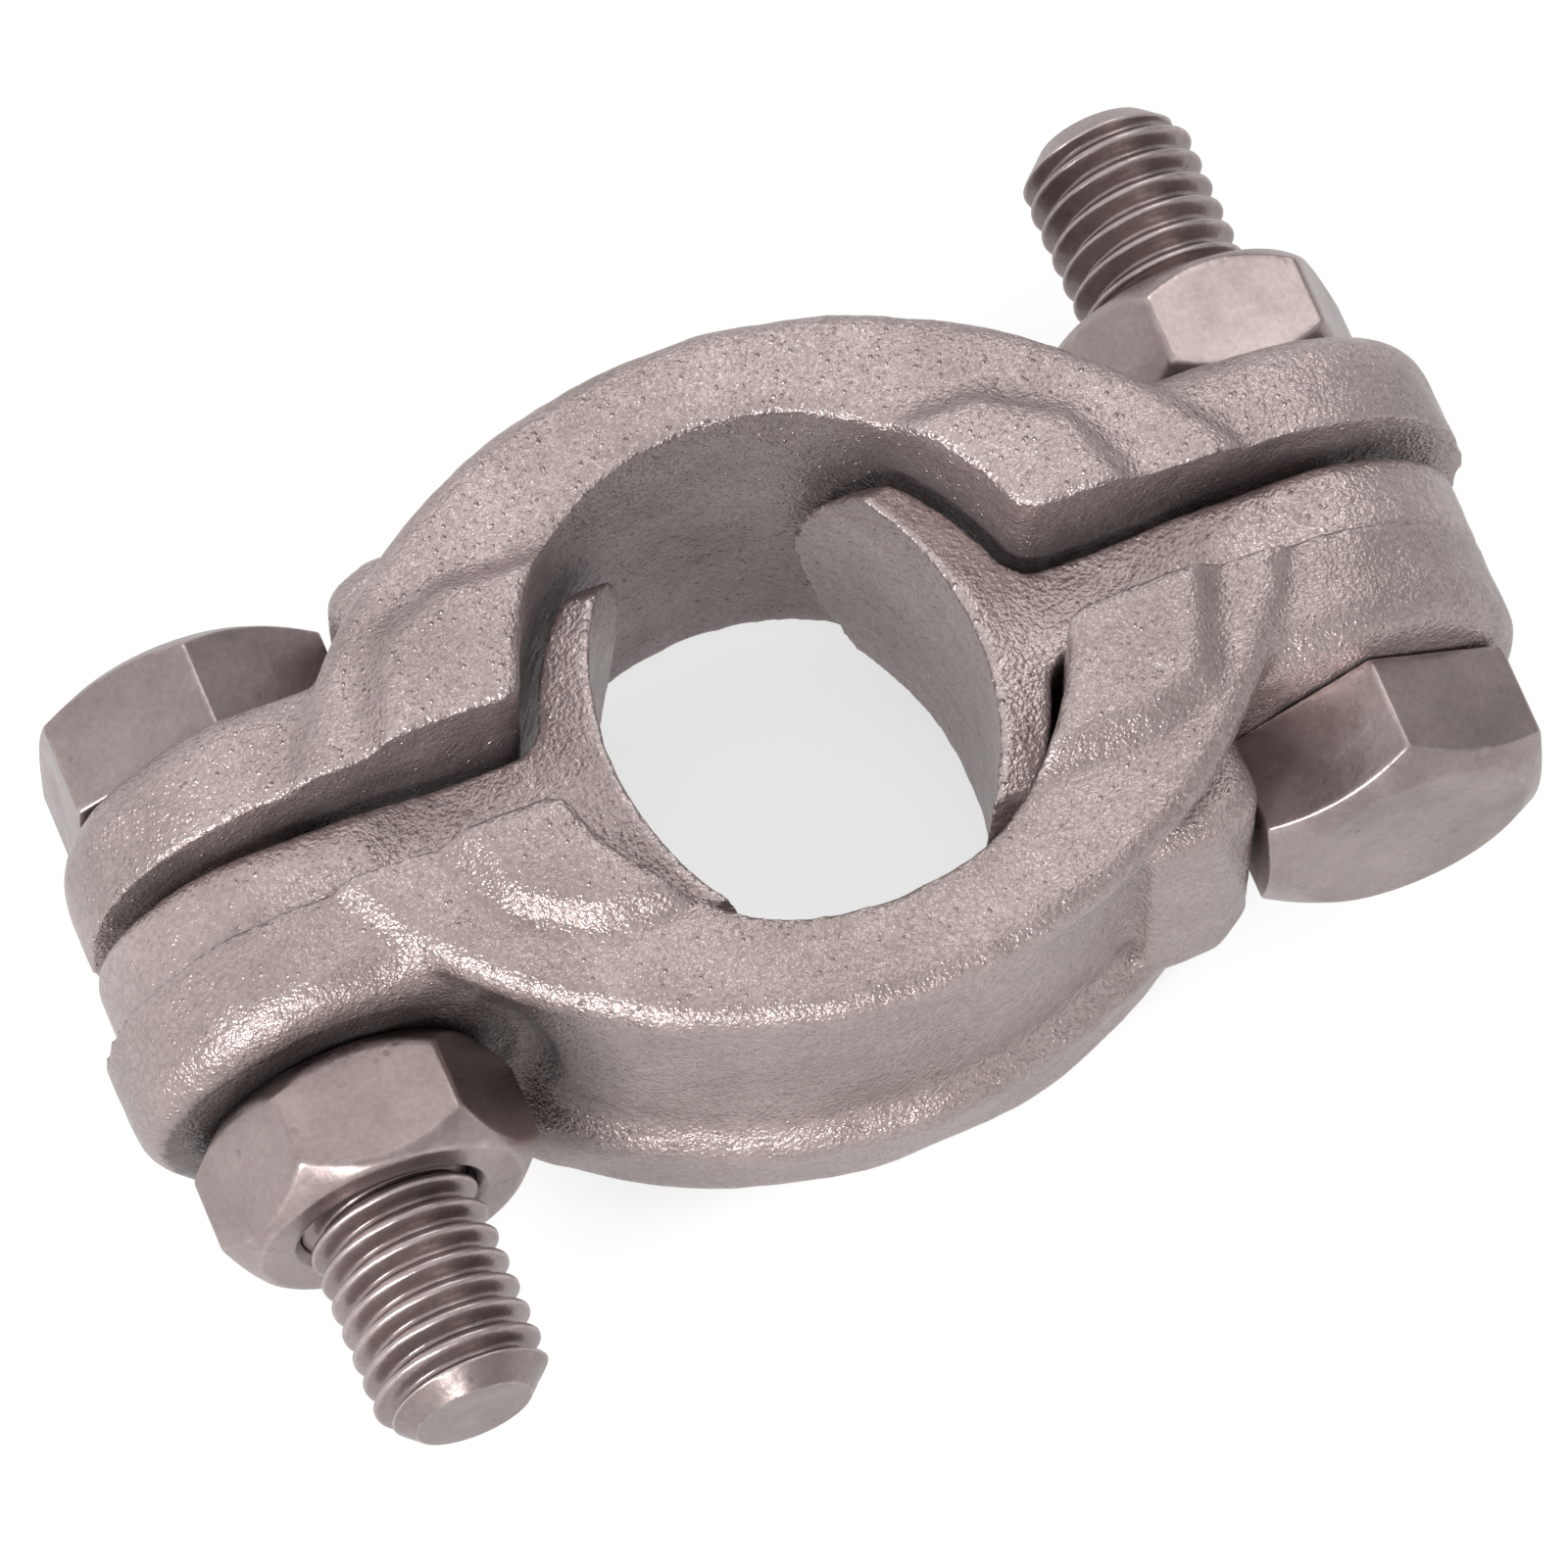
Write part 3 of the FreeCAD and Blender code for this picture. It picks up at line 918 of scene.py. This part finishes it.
# each lamp has its place and size in m and its brightness, where 1 is white
lamps = {
    "backLamp": {"place": (0.33, 0.25, 0.48), "size": 0.34, "brightness": 1.2},
    "overheadLamp": {"place": (0.10, 0.22, 0.56), "size": 0.84, "brightness": 0.42},
    "glintLamp": {"place": (0.21, 0.39, 0.47), "size": 0.08, "brightness": 16.0},
    "keyLamp": {"place": (-0.41, -0.31, 0.28), "size": 0.15, "brightness": 38.0},
    "frontLamp": {"place": (-0.16, -0.54, 0.25), "size": 0.12, "brightness": 26.0},
}

view = {
    "aim": (-0.0005352, -0.0006145, -0.0003407),    # m
    "distance": 0.645766,      # m
    "azimuth": 22.85,          # degrees to the left of straight on
    "elevation": 66.246,       # degrees
    "roll": -1.128,            # degrees
    "lens": 336.30,            # mm
    "sensor": 36.0,            # mm
}


def areaLight(name, look):
    lamp = bpy.data.lights.new(name, "AREA")
    lamp.shape = "DISK"
    lamp.size = look["size"]
    lamp.energy = look["brightness"] * math.pi * math.pi * (look["size"] / 2) ** 2
    holder = bpy.data.objects.new(name, lamp)
    bpy.context.scene.collection.objects.link(holder)
    holder.location = look["place"]
    holder.rotation_euler = (-Vector(look["place"])).to_track_quat("-Z", "Y").to_euler()


def makeFloor():
    half = studio["floorSize"] / 2
    mesh = bpy.data.meshes.new("floor")
    z = cadBox[0][2]
    corners = [(-half, -half, z), (half, -half, z), (half, half, z), (-half, half, z)]
    mesh.from_pydata(corners, [], [(0, 1, 2, 3)])
    floor = link("floor", mesh)
    material, tree = newMaterial("paleFloor")
    shader = tree.nodes.new("ShaderNodeBsdfPrincipled")
    shader.inputs["Base Color"].default_value = studio["floorColour"]
    shader.inputs["Roughness"].default_value = studio["floorRough"]
    shader.inputs["Specular IOR Level"].default_value = 0.0
    shader.inputs["Emission Color"].default_value = (1, 1, 1, 1)
    rays = tree.nodes.new("ShaderNodeLightPath").outputs
    gloss = mathNode(tree, "ADD", rays["Is Glossy Ray"], rays["Is Transmission Ray"])
    seen = mathNode(tree, "ADD", product(tree, rays["Is Camera Ray"], studio["floorGlow"]),
                    product(tree, gloss, studio["floorGloss"]))
    tree.links.new(seen, shader.inputs["Emission Strength"])
    output = tree.nodes.new("ShaderNodeOutputMaterial")
    tree.links.new(shader.outputs["BSDF"], output.inputs["Surface"])
    floor.data.materials.append(material)


def makeWorld():
    # a plain pale room, somewhat darker at the right
    world = bpy.data.worlds.new("studio")
    bpy.context.scene.world = world
    world.use_nodes = True
    tree = world.node_tree
    back = tree.nodes["Background"]
    across = tree.nodes.new("ShaderNodeSeparateXYZ")
    tree.links.new(tree.nodes.new("ShaderNodeTexCoord").outputs["Generated"], across.inputs[0])
    strength = rangeNode(tree, across.outputs["X"], (-1.0, 1.0),
                         studio["worldLeft"], studio["worldRight"])
    tree.links.new(strength, back.inputs["Strength"])
    back.inputs["Color"].default_value = (1, 1, 1, 1)


def makeCamera():
    azimuth = math.radians(view["azimuth"])
    elevation = math.radians(view["elevation"])
    forward = Vector((math.sin(azimuth) * math.cos(elevation),
                      math.cos(azimuth) * math.cos(elevation), -math.sin(elevation)))
    right = Vector((math.cos(azimuth), -math.sin(azimuth), 0))
    up = right.cross(forward)
    turn = Matrix((right, up, -forward)).transposed().to_4x4()
    turn = turn @ Matrix.Rotation(-math.radians(view["roll"]), 4, "Z")
    lens = bpy.data.cameras.new("camera")
    lens.lens = view["lens"]
    lens.sensor_width = view["sensor"]
    lens.clip_start = 0.01
    camera = bpy.data.objects.new("camera", lens)
    bpy.context.scene.collection.objects.link(camera)
    place = Vector(view["aim"]) - forward * view["distance"]
    camera.matrix_world = Matrix.Translation(place) @ turn
    bpy.context.scene.camera = camera


makeFloor()
makeWorld()
for name, look in lamps.items():
    areaLight(name, look)
makeCamera()
bpy.context.scene.view_settings.view_transform = "Standard"
print("studio made")
